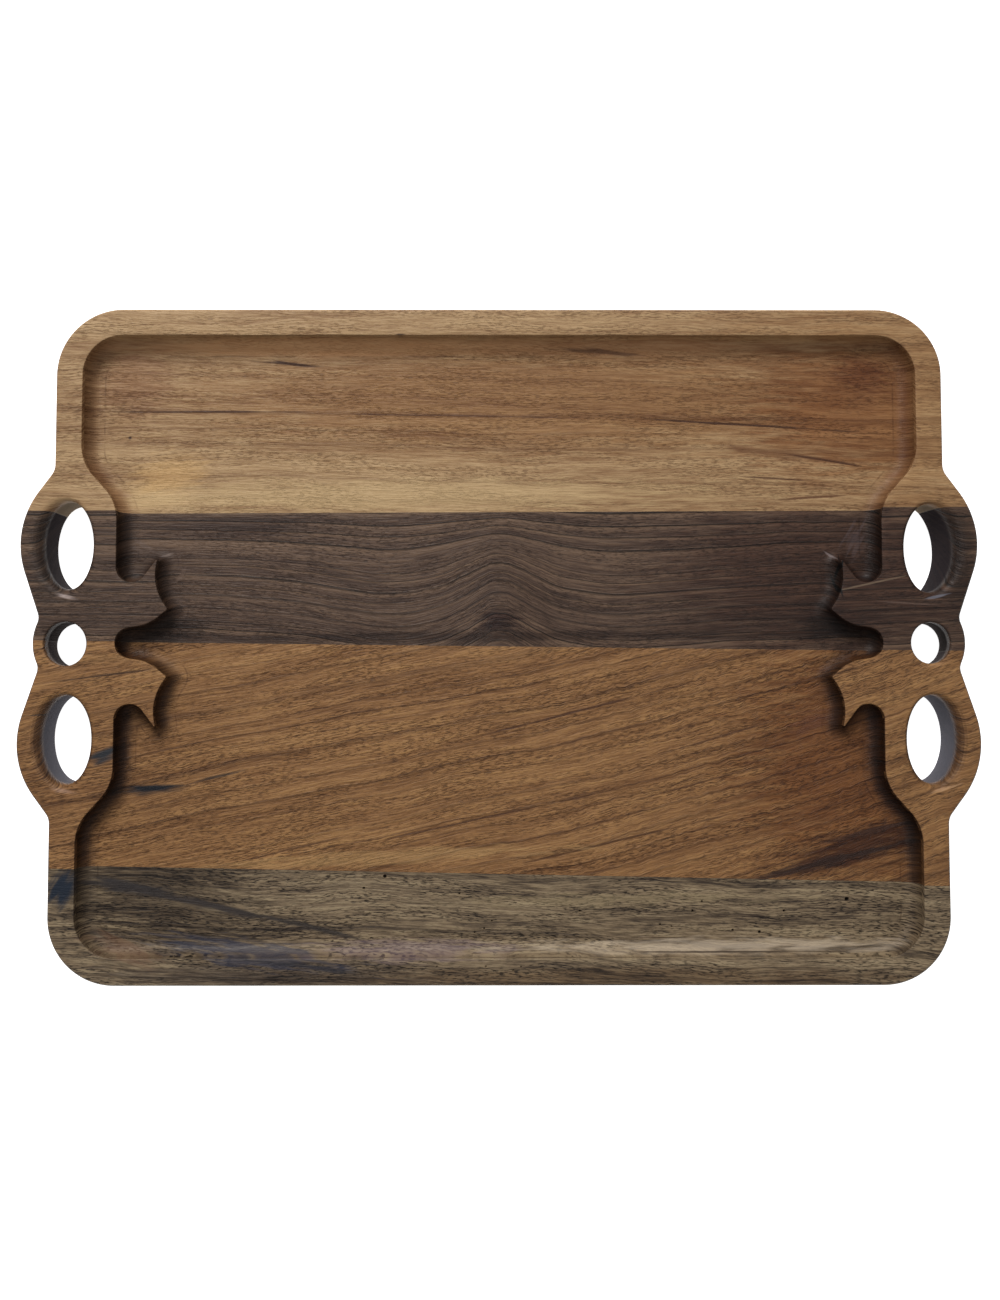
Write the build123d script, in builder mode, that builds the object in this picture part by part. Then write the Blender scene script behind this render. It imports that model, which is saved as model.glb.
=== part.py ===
"""A hardwood serving tray: four edge-glued boards carved with one shallow recess and two pierced handles.

The boards run along X and are glued edge to edge along Y. After gluing, the panel is cut to one outline, a
round-nosed cutter sinks the recess, and two eye-shaped holes with a round hole between them pierce each end
as a handle. The carving crosses the glue joints, so the tray is shaped whole here and then parted at them.

Frame: millimetres, origin at the centre of the underside, +X to the right-hand handle, +Y to the pale back
board, +Z up.
"""

import os

from build123d import *

# Overall size. The handle lobes, below, bring the length to 500.
BODY_LENGTH = 465.0  # between the straight ends, in front of and behind the handles
WIDTH = 352.0
THICKNESS = 22.0
RIM = 14.0  # flat border round the recess
RECESS_DEPTH = 10.0

# Edges eased by hand
OUTER_EASE = 1.5
EYE_EASE = 3.5
ROUND_EASE = 2.0

# Round nose of the cutter that sinks the recess
COVE_R = 7.0  # between the recess wall and its floor

# Handle holes
EYE_X, EYE_Y = 225.0, 50.0
EYE_HALF_WIDTH, EYE_HALF_LENGTH = 13.3, 23.0
ROUND_HOLE_X = 226.5
ROUND_HOLE_R = 11.75

# Corners of the outline and of the recess, each with the radius that rounds it, for the back half of the
# right-hand end. Both shapes repeat in the other three quarters.
BODY_X, BACK_Y = BODY_LENGTH / 2, WIDTH / 2
RECESS_X, RECESS_Y = BODY_X - RIM, BACK_Y - RIM
WALL_X = 199.6  # recess wall beside the holes
OUTLINE_CORNERS = [
    ((BODY_X, BACK_Y), 35.0),
    ((BODY_X, 90.6), 9.0),  # shoulder of the handle
    ((255.2, 59.9), 46.0),  # outer lobe
    ((239.4, 12.9), 7.0),  # waist between the lobes
    ((244.9, 0.0), 26.0),  # middle lobe
]
RECESS_CORNERS = [
    ((RECESS_X, RECESS_Y), 21.0),
    ((RECESS_X, 94.6), 24.0),  # the rim swells into the handle
    ((WALL_X, 73.4), 24.0),
    ((WALL_X, 15.5), 8.0),  # round end of the side notch, as wide as the cutter
    ((177.8, 44.8), 0.5),  # raised prong
    ((180.9, 29.6), 27.0),  # hollow between prong and point
    ((172.5, 17.6), 1.0),  # raised point
    ((182.0, 9.7), 22.0),
    ((WALL_X, 6.9), 7.9),  # round end of the middle notch
]

# Glue joints: Y at the tray's middle, and rise in Y per unit of X, since the boards taper a little
GLUE = 0.15
BACK_JOINT = (70.0, 0.0043)
MIDDLE_JOINT = (-1.3, -0.0114)
FRONT_JOINT = (-120.8, -0.0200)


def rounded_outline(corners):
    """A closed plan shape from one quarter's corners, rounded by their radii and repeated in the others."""
    back = [point for point, _ in corners]
    front = [(x, -y) for x, y in reversed(back) if y > 0]
    right = back + front
    left = [(-x, y) for x, y in reversed(right)]
    with BuildSketch() as plan:
        with BuildLine():
            Polyline(*right, *left, close=True)
        make_face()
        for (x, y), radius in corners:
            alike = [v for v in plan.vertices() if abs(abs(v.X) - x) < 0.01 and abs(abs(v.Y) - y) < 0.01]
            fillet(alike, radius=radius)
    return plan.sketch


def mouths(edges):
    """The closed rims among the edges that cutting holes has just made."""
    return [edge for edge in edges if edge.is_closed]


def carved_blank():
    """The whole tray before it is parted at the glue joints."""
    with BuildPart() as tray:
        with BuildSketch():
            add(rounded_outline(OUTLINE_CORNERS))
        extrude(amount=THICKNESS)
        fillet(tray.faces().filter_by(Axis.Z).edges(), radius=OUTER_EASE)

        with BuildSketch(Plane.XY.offset(THICKNESS)):
            add(rounded_outline(RECESS_CORNERS))
        extrude(amount=-RECESS_DEPTH, mode=Mode.SUBTRACT)
        floor = tray.faces().filter_by(Plane.XY).sort_by(Axis.Z)[1]
        fillet(floor.edges(), radius=COVE_R)

        with BuildSketch():
            with Locations(*[(x, y) for x in (-EYE_X, EYE_X) for y in (-EYE_Y, EYE_Y)]):
                Ellipse(EYE_HALF_WIDTH, EYE_HALF_LENGTH)
        extrude(amount=THICKNESS, mode=Mode.SUBTRACT)
        fillet(mouths(tray.edges(Select.LAST)), radius=EYE_EASE)

        with BuildSketch():
            with Locations((-ROUND_HOLE_X, 0), (ROUND_HOLE_X, 0)):
                Circle(ROUND_HOLE_R)
        extrude(amount=THICKNESS, mode=Mode.SUBTRACT)
        fillet(mouths(tray.edges(Select.LAST)), radius=ROUND_EASE)
    return tray.part


def face_of_glue(joint, side):
    """The plane on the back (side 1) or front (side -1) of a glue film, facing the back of the tray."""
    middle_y, rise = joint
    across = Plane(origin=(0, middle_y, 0), x_dir=(1, rise, 0), z_dir=(-rise, 1, 0))
    return across.offset(side * GLUE / 2)


def finish(name, piece):
    """Name one finished piece and write its STEP file."""
    piece.label = name
    export_step(piece, f"parts/{name}.step")


os.makedirs("parts", exist_ok=True)
blank = carved_blank()

# Boards, from the back of the tray to its front

with BuildPart() as back_board:
    add(blank)
    split(bisect_by=face_of_glue(BACK_JOINT, 1), keep=Keep.TOP)
finish("back_board", back_board.part)

with BuildPart() as dark_board:
    add(blank)
    split(bisect_by=face_of_glue(BACK_JOINT, -1), keep=Keep.BOTTOM)
    split(bisect_by=face_of_glue(MIDDLE_JOINT, 1), keep=Keep.TOP)
finish("dark_board", dark_board.part)

with BuildPart() as brown_board:
    add(blank)
    split(bisect_by=face_of_glue(MIDDLE_JOINT, -1), keep=Keep.BOTTOM)
    split(bisect_by=face_of_glue(FRONT_JOINT, 1), keep=Keep.TOP)
finish("brown_board", brown_board.part)

with BuildPart() as front_board:
    add(blank)
    split(bisect_by=face_of_glue(FRONT_JOINT, -1), keep=Keep.BOTTOM)
finish("front_board", front_board.part)

# Glue films between them

with BuildPart() as back_glue:
    add(blank)
    split(bisect_by=face_of_glue(BACK_JOINT, 1), keep=Keep.BOTTOM)
    split(bisect_by=face_of_glue(BACK_JOINT, -1), keep=Keep.TOP)
finish("back_glue", back_glue.part)

with BuildPart() as middle_glue:
    add(blank)
    split(bisect_by=face_of_glue(MIDDLE_JOINT, 1), keep=Keep.BOTTOM)
    split(bisect_by=face_of_glue(MIDDLE_JOINT, -1), keep=Keep.TOP)
finish("middle_glue", middle_glue.part)

with BuildPart() as front_glue:
    add(blank)
    split(bisect_by=face_of_glue(FRONT_JOINT, 1), keep=Keep.BOTTOM)
    split(bisect_by=face_of_glue(FRONT_JOINT, -1), keep=Keep.TOP)
finish("front_glue", front_glue.part)
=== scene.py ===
"""A carved serving tray of four glued hardwood boards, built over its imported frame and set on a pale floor.

Metres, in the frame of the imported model: origin at the centre of the underside, +X to the right-hand handle,
+Y to the pale back board, +Z up. The whole carved skin is worked out once, as surfaces carried round the
tray's outlines, and each board is the part of it between two glue joints.
"""

import logging
from dataclasses import dataclass, field
from enum import Enum
from math import cos, pi, radians, sin
from typing import Sequence

import bmesh
import bpy
import numpy as np
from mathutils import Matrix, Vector
from mathutils.geometry import delaunay_2d_cdt


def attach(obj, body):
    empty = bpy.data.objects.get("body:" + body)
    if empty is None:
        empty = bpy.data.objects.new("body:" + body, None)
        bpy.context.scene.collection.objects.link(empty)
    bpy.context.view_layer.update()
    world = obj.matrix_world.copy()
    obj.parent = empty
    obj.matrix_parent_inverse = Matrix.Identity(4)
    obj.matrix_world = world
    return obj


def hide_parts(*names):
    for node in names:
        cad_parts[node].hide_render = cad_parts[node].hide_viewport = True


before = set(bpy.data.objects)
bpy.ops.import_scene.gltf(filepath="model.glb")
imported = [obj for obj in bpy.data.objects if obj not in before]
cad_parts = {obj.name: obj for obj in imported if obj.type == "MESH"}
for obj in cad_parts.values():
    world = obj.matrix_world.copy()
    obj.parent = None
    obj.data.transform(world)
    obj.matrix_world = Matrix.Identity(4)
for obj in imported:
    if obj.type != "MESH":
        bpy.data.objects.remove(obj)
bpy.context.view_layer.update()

LOG = logging.getLogger("tray")
MM = 0.001
RIM_LEVEL, FLOOR_LEVEL = 22.0, 12.0  # heights of the rim and of the serving floor, in millimetres
SAME = 1e-6  # places closer than this, in metres, are one place
ROWS_AT_ONCE = 4000  # how many points are compared with a whole outline at a time
ARC_STEP = 9  # the most degrees that an arc turns between two samples
PIT_STEPS = 12  # points in each ring round a pit

Points = np.ndarray  # rows of coordinates
Socket = bpy.types.NodeSocket


# ---- Outlines ----


@dataclass(frozen=True)
class Corner:
    """A corner of a plan outline, in millimetres: where its sides would meet, and the radius rounding it."""

    x: float
    y: float
    radius: float


@dataclass(frozen=True)
class Loop:
    """A closed plan curve, anticlockwise.

    Attributes:
        points: rows of x and y, in metres.
        outward: unit normals at the points.
    """

    points: Points
    outward: Points

    def offset(self, distance: float | Points) -> Points:
        """The curve's points moved along their normals, all alike or each by its own; negative is inwards."""
        return self.points + np.reshape(distance, (-1, 1)) * self.outward


def four_quarters(quarter: Sequence[Corner]) -> list[Corner]:
    """Repeat the back right-hand quarter's corners in the other three.

    Args:
        quarter: corners from the back of the tray to the middle of its right-hand end.

    Returns:
        All corners, anticlockwise.
    """
    front = [Corner(c.x, -c.y, c.radius) for c in quarter]
    up_right = front + [c for c in reversed(quarter) if c.y > 0]
    down_left = [Corner(-c.x, -c.y, c.radius) for c in up_right]
    return up_right + down_left


def rounded_loop(corners: Sequence[Corner], step: float, chord: float) -> Loop:
    """Sample straight sides joined by tangent arcs.

    At a corner that turns by angle t, an arc of radius r starts and ends r*tan(t/2) from the corner. Along it
    the direction of travel turns evenly from one side's to the other's, and a point lies one radius from the
    arc's centre, square to the direction of travel.

    Args:
        corners: the corners in order, anticlockwise.
        step: greatest distance between samples on straight sides, in metres.
        chord: greatest distance between samples on arcs, in metres.

    Returns:
        The closed curve.
    """
    sites = np.array([(c.x, c.y) for c in corners]) * MM
    radii = np.array([c.radius for c in corners]) * MM
    sides = np.roll(sites, -1, axis=0) - sites
    heading_out = np.arctan2(sides[:, 1], sides[:, 0])
    heading_in = np.roll(heading_out, 1)
    turn = (heading_out - heading_in + pi) % (2 * pi) - pi
    reach = radii * np.tan(np.abs(turn) / 2)

    points, headings = [], []
    for i in range(len(corners)):
        way_in = np.array([cos(heading_in[i]), sin(heading_in[i])])
        start = sites[i] - reach[i] * way_in
        side = np.sign(turn[i])
        centre = start + side * radii[i] * np.array([-way_in[1], way_in[0]])
        arc = abs(turn[i])
        count = max(3, int(np.ceil(radii[i] * arc / chord)), int(np.ceil(arc / radians(ARC_STEP))))
        heading = heading_in[i] + turn[i] * np.linspace(0, 1, count + 1)
        points.append(centre + side * radii[i] * np.column_stack([np.sin(heading), -np.cos(heading)]))
        headings.append(heading)

        way_out = np.array([cos(heading_out[i]), sin(heading_out[i])])
        follower = (i + 1) % len(corners)
        length = np.hypot(*sides[i]) - reach[i] - reach[follower]
        gaps = int(np.ceil(length / step))
        inner = np.arange(1, gaps)[:, None] / max(gaps, 1) * length
        points.append(points[-1][-1] + inner * way_out)
        headings.append(np.full(len(inner), heading_out[i]))

    heading = np.concatenate(headings)
    return Loop(np.concatenate(points), np.column_stack([np.sin(heading), -np.cos(heading)]))


def ellipse_loop(x: float, y: float, half_width: float, half_length: float, count: int) -> Loop:
    """Sample an ellipse by its angle.

    A point lies at (half_width*cos a, half_length*sin a) from the centre, and its normal runs along
    (cos a / half_width, sin a / half_length).

    Args:
        x: centre, in millimetres.
        y: centre, in millimetres.
        half_width: half its size along X, in millimetres.
        half_length: half its size along Y, in millimetres.
        count: number of samples.

    Returns:
        The closed curve.
    """
    angle = np.linspace(0, 2 * pi, count, endpoint=False)
    ring = np.column_stack([half_width * np.cos(angle), half_length * np.sin(angle)]) * MM
    normal = np.column_stack([np.cos(angle) / half_width, np.sin(angle) / half_length])
    normal /= np.linalg.norm(normal, axis=1, keepdims=True)
    return Loop(ring + np.array([x, y]) * MM, normal)


def quarter_round(start: tuple[float, float], end: tuple[float, float], hollow: bool, count: int) -> Points:
    """A quarter circle in a section through a wall, as rows of offset and height.

    Args:
        start: offset and height where it begins.
        end: offset and height where it ends.
        hollow: True if it leaves its start along the height, False if along the offset.
        count: number of equal steps.

    Returns:
        Its points, both ends included.
    """
    angle = np.linspace(0, pi / 2, count + 1)
    slow, fast = 1 - np.cos(angle), np.sin(angle)
    across, along = (slow, fast) if hollow else (fast, slow)
    return np.column_stack(
        [start[0] + (end[0] - start[0]) * across, start[1] + (end[1] - start[1]) * along]
    )


# ---- The carved skin ----


@dataclass(frozen=True)
class Hole:
    """One handle hole, in millimetres.

    Attributes:
        ease: radius of its rounded edges.
        grip: how much softer the top edge is where fingers reach round it.
        taper: how far the wall nearest the tray's end leans in below, or out if it is negative.
    """

    x: float
    y: float
    half_width: float
    half_length: float
    ease: float
    grip: float = 0.0
    taper: float = 0.0

    def softness(self, outward: Points) -> Points:
        """Radius of the top edge round the hole, in metres.

        It is the ease plus the grip times a power of how far the loop's normal leans towards the tray's end,
        or nine tenths of how far it leans towards the front, whichever is more.

        Args:
            outward: unit normals at the loop's points.

        Returns:
            One radius for each point.
        """
        lean = np.maximum(outward[:, 0] * np.sign(self.x), -0.9 * outward[:, 1])
        return (self.ease + self.grip * np.clip(lean, 0, 1) ** 1.5) * MM

    def slant(self, outward: Points) -> Points:
        """How far the wall has leaned in at the underside: the taper times the normal's lean to the end."""
        return self.taper * np.clip(outward[:, 0] * np.sign(self.x), 0, 1) * MM


@dataclass(frozen=True)
class Pit:
    """One small insect hole in the serving floor or rim, in millimetres."""

    x: float
    y: float
    radius: float
    depth: float


@dataclass
class TraySkin:
    """The tray's whole carved surface, before it is parted into boards. All sizes are in millimetres.

    The three bands of wall (outside, recess and holes) are profiles carried along closed curves, and the flat
    faces between them are meshes on a grid that meet the bands point for point.
    """

    body_half_length: float = 232.5
    half_width: float = 176.0
    thickness: float = RIM_LEVEL
    rim: float = 14.0
    recess_depth: float = RIM_LEVEL - FLOOR_LEVEL
    cove: float = 7.0
    outer_ease: float = 1.5
    lip_ease: float = 0.4
    wall_x: float = 199.6
    side_step: float = 3.0
    outline_chord: float = 1.5
    recess_chord: float = 1.2
    hole_samples: int = 96
    floor_step: float = 3.0
    under_step: float = 9.0
    swell: float = 0.03
    pits: tuple[Pit, ...] = ()
    outline_corners: list[Corner] = field(init=False)
    recess_corners: list[Corner] = field(init=False)
    holes: list[Hole] = field(init=False)
    vertices: list[Points] = field(default_factory=list, init=False)
    faces: list[Points] = field(default_factory=list, init=False)

    def __post_init__(self) -> None:
        """Lay out the corners and holes from the driving sizes."""
        end, back = self.body_half_length, self.half_width
        self.outline_corners = [
            Corner(end, back, 35.0),
            Corner(end, 90.6, 9.0),
            Corner(255.2, 59.9, 46.0),
            Corner(239.4, 12.9, 7.0),
            Corner(244.9, 0.0, 26.0),
        ]
        self.recess_corners = [
            Corner(end - self.rim, back - self.rim, 21.0),
            Corner(end - self.rim, 94.6, 24.0),
            Corner(self.wall_x, 73.4, 24.0),
            Corner(self.wall_x, 15.5, 8.0),
            Corner(177.8, 44.8, 0.5),
            Corner(180.9, 29.6, 27.0),
            Corner(172.5, 17.6, 1.0),
            Corner(182.0, 9.7, 22.0),
            Corner(self.wall_x, 6.9, 7.9),
        ]
        self.holes = [
            Hole(-225.4, 51.4, 13.3, 23.0, 2.5, 3.8, 0.5),
            Hole(-225.0, -50.0, 13.3, 23.0, 2.5, 3.2, 0.0),
            Hole(225.0, 50.0, 13.3, 23.0, 2.5, 4.0, 4.2),
            Hole(225.0, -50.0, 13.3, 23.0, 2.5, 3.2, 1.2),
            Hole(-225.4, -0.4, 10.8, 11.5, 1.0, 0.3, -2.2),
            Hole(224.4, 0.0, 10.1, 10.8, 1.0, 0.3, -3.2),
        ]

    def recess_loop(self) -> Loop:
        """The outline of the recess wall."""
        return rounded_loop(four_quarters(self.recess_corners), self.side_step * MM, self.recess_chord * MM)

    def build(self) -> None:
        """Work out every surface of the skin."""
        top, floor = self.thickness * MM, (self.thickness - self.recess_depth) * MM
        ease, lip, cove = self.outer_ease * MM, self.lip_ease * MM, self.cove * MM
        corners = four_quarters(self.outline_corners)
        outline = rounded_loop(corners, self.side_step * MM, self.outline_chord * MM)
        recess = self.recess_loop()

        side = np.concatenate(
            [
                quarter_round((-ease, 0), (0, ease), False, 4),
                quarter_round((0, top - ease), (-ease, top), True, 4),
            ]
        )
        self.band(outline, side)
        wall = np.concatenate(
            [
                quarter_round((lip, top), (0, top - lip), False, 3),
                quarter_round((0, floor + cove), (-cove, floor), True, 10),
            ]
        )
        self.band(recess, wall)

        mouths, backs = [], []
        for hole in self.holes:
            loop = ellipse_loop(hole.x, hole.y, hole.half_width, hole.half_length, self.hole_samples)
            soft, under, slant = hole.softness(loop.outward), hole.ease * MM, hole.slant(loop.outward)
            mouths.append(loop.offset(soft))
            backs.append(loop.offset(under - slant))
            unit = quarter_round((1, 0), (0, -1), False, 6)
            mouth = np.stack([unit[:, :1] * soft, top + unit[:, 1:] * soft], axis=-1)
            turn = quarter_round((0, under), (under, 0), True, 6)
            back = np.stack([turn[:, :1] - slant, turn[:, 1:] + 0 * slant], axis=-1)
            self.band(loop, np.concatenate([mouth, back]))

        self.flat([outline.offset(-ease), recess.offset(lip), *mouths], top, self.floor_step * MM)
        self.flat([recess.offset(-cove)], floor, self.floor_step * MM)
        self.flat([outline.offset(-ease), *backs], 0.0, self.under_step * MM, facing_down=True)

    def band(self, loop: Loop, profile: Points) -> None:
        """Carry a wall's section along a closed curve.

        The point at row i and column j is the curve's point j, moved by the section's offset i along the
        curve's normal there, at the section's height i.

        Args:
            loop: the closed curve.
            profile: rows of offset and height, the same all round or, as a third index, each point's own.
        """
        columns = len(loop.points)
        if profile.ndim == 2:
            profile = profile[:, None, :]
        plan = loop.points[None] + profile[:, :, :1] * loop.outward[None]
        height = np.broadcast_to(profile[:, :, 1:], (*plan.shape[:2], 1))
        self.vertices.append(np.concatenate([plan, height], axis=2).reshape(-1, 3))
        row, column = np.meshgrid(np.arange(len(profile) - 1), np.arange(columns), indexing="ij")
        here, there = row * columns + column, row * columns + (column + 1) % columns
        self.faces.append(np.stack([here, there, there + columns, here + columns], axis=2).reshape(-1, 4))

    def flat(self, edges: Sequence[Points], height: float, step: float, facing_down: bool = False) -> None:
        """Mesh a level region between closed curves over a square grid of points.

        Args:
            edges: the region's closed boundary curves, the outer one first.
            height: its level, in metres.
            step: spacing of the grid.
            facing_down: True for the underside.
        """
        low, high = edges[0].min(axis=0), edges[0].max(axis=0)
        across, along = (np.arange(low[i] + step / 2, high[i], step) for i in (0, 1))
        grid = np.stack(np.meshgrid(across, along), axis=-1).reshape(-1, 2)
        rim = np.concatenate(edges)
        extra = self.pit_points(height) if not facing_down else np.empty((0, 2))
        grid = clear_of(grid, np.concatenate([rim, extra]), 0.5 * step)
        sites = np.concatenate([rim, extra, grid])
        starts = np.cumsum([0, *map(len, edges)])
        links = [
            np.column_stack([np.arange(len(e)), np.roll(np.arange(len(e)), -1)]) + start
            for e, start in zip(edges, starts)
        ]
        found = delaunay_2d_cdt(
            [Vector(site) for site in sites.tolist()], np.concatenate(links).tolist(), [], 0, 1e-8
        )
        plan, triangles = np.array([v[:] for v in found[0]]), np.array(found[2])
        triangles = triangles[inside(plan[triangles].mean(axis=1), edges)]
        self.vertices.append(np.column_stack([plan, np.full(len(plan), height)]))
        a, b, c = (plan[triangles[:, i]] for i in range(3))
        double_area = (b[:, 0] - a[:, 0]) * (c[:, 1] - a[:, 1]) - (b[:, 1] - a[:, 1]) * (c[:, 0] - a[:, 0])
        backwards = (double_area > 0) == facing_down
        triangles[backwards] = triangles[backwards][:, ::-1]
        self.faces.append(triangles)

    def pit_points(self, height: float) -> Points:
        """Rings of points round the pits that open on one level face.

        Ring k of a pit lies at k/3 of its radius, and its points are spaced evenly by angle.

        Args:
            height: the face's level, in metres.

        Returns:
            Rows of x and y, in metres.
        """
        chosen = [pit for pit in self.pits if abs(self.pit_level(pit) * MM - height) < SAME]
        if not chosen:
            return np.empty((0, 2))
        angle = np.linspace(0, 2 * pi, PIT_STEPS, endpoint=False)
        ring = np.column_stack([np.cos(angle), np.sin(angle)])
        unit = np.concatenate([[(0.0, 0.0)], *(k / 3 * ring for k in (1, 2, 3))])
        centres = np.array([(pit.x, pit.y) for pit in chosen])
        radii = np.array([pit.radius for pit in chosen])
        return ((centres[:, None] + radii[:, None, None] * unit[None]) * MM).reshape(-1, 2)

    def pit_level(self, pit: Pit) -> float:
        """Height of the face that a pit opens on, in millimetres."""
        on_floor = abs(pit.x) < self.wall_x and abs(pit.y) < self.half_width - self.rim
        return self.thickness - self.recess_depth if on_floor else self.thickness

    def worked(self, sites: Points) -> Points:
        """Give the surface its hand-sanded unevenness and its insect holes.

        Heights gain three crossed sine waves, each as high as the swell, fading out between 12 and 8 mm
        above the underside, and lose depth * (1 - (d/r)^2)^2 within radius r of a pit.

        Args:
            sites: rows of x, y and z, in metres.

        Returns:
            The same rows with new heights.
        """
        x, y, z = sites.T
        waves = np.sin(x * 47 + y * 61) + np.sin(x * 83 - y * 29 + 1.3) + np.sin(x * 21 + y * 131 + 2.1)
        upper = np.clip((z / MM - 8.0) / 4.0, 0, 1)
        z = z + waves * upper * self.swell * MM
        for pit in self.pits:
            level = self.pit_level(pit) * MM
            nearness = 1 - ((x - pit.x * MM) ** 2 + (y - pit.y * MM) ** 2) / (pit.radius * MM) ** 2
            on_face = np.abs(sites[:, 2] - level) < SAME
            z = z - on_face * pit.depth * MM * np.clip(nearness, 0, 1) ** 2
        return np.column_stack([x, y, z])

    def mesh(self) -> bmesh.types.BMesh:
        """The skin as one closed mesh.

        Returns:
            A new bmesh with its coinciding seam points merged.
        """
        starts = np.cumsum([0, *map(len, self.vertices)])
        data = bpy.data.meshes.new("skin")
        faces = [face for part, start in zip(self.faces, starts) for face in (part + start).tolist()]
        data.from_pydata(self.worked(np.concatenate(self.vertices)).tolist(), [], faces)
        skin = bmesh.new()
        skin.from_mesh(data)
        bpy.data.meshes.remove(data)
        bmesh.ops.remove_doubles(skin, verts=skin.verts, dist=SAME)
        return skin


def batches(count: int) -> list[np.ndarray]:
    """Split the row numbers below a count into runs of about ROWS_AT_ONCE."""
    return np.array_split(np.arange(count), max(1, count // ROWS_AT_ONCE))


def inside(points: Points, edges: Sequence[Points]) -> np.ndarray:
    """Tell which points lie in the region between closed curves.

    A point is inside if a line drawn from it along +X crosses the curves an odd number of times.

    Args:
        points: rows of x and y.
        edges: the region's boundary curves.

    Returns:
        One truth value per point.
    """
    start = np.concatenate(edges)
    stop = np.concatenate([np.roll(edge, -1, axis=0) for edge in edges])
    rise = np.where(stop[:, 1] == start[:, 1], 1.0, stop[:, 1] - start[:, 1])
    crossings = np.zeros(len(points), dtype=int)
    for rows in batches(len(points)):
        x, y = points[rows, :1], points[rows, 1:]
        spans = (start[:, 1] > y) != (stop[:, 1] > y)
        meets = start[:, 0] + (y - start[:, 1]) / rise * (stop[:, 0] - start[:, 0])
        crossings[rows] = np.count_nonzero(spans & (meets > x), axis=1)
    return crossings % 2 == 1


def clear_of(points: Points, obstacles: Points, distance: float) -> Points:
    """Keep the points that are at least a distance away from all obstacles.

    Args:
        points: rows of x and y.
        obstacles: rows of x and y.
        distance: least distance kept.

    Returns:
        The rows that remain.
    """
    keep = np.ones(len(points), dtype=bool)
    for rows in batches(len(points)):
        gap = np.linalg.norm(points[rows, None] - obstacles[None], axis=2)
        keep[rows] = gap.min(axis=1) > distance
    return points[keep]


# ---- Node work shared by the finishes ----

Colour = tuple[float, float, float, float]


def dye(red: float, green: float, blue: float) -> Colour:
    """A colour as the eye rates it, from 0 to 255, turned into the linear values that shaders take."""
    return (*(((v / 255 + 0.055) / 1.055) ** 2.4 if v > 10 else v / 3294 for v in (red, green, blue)), 1.0)


class Blend(Enum):
    """How one colour goes over another."""

    COVER = "MIX"
    STAIN = "MULTIPLY"


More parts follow.
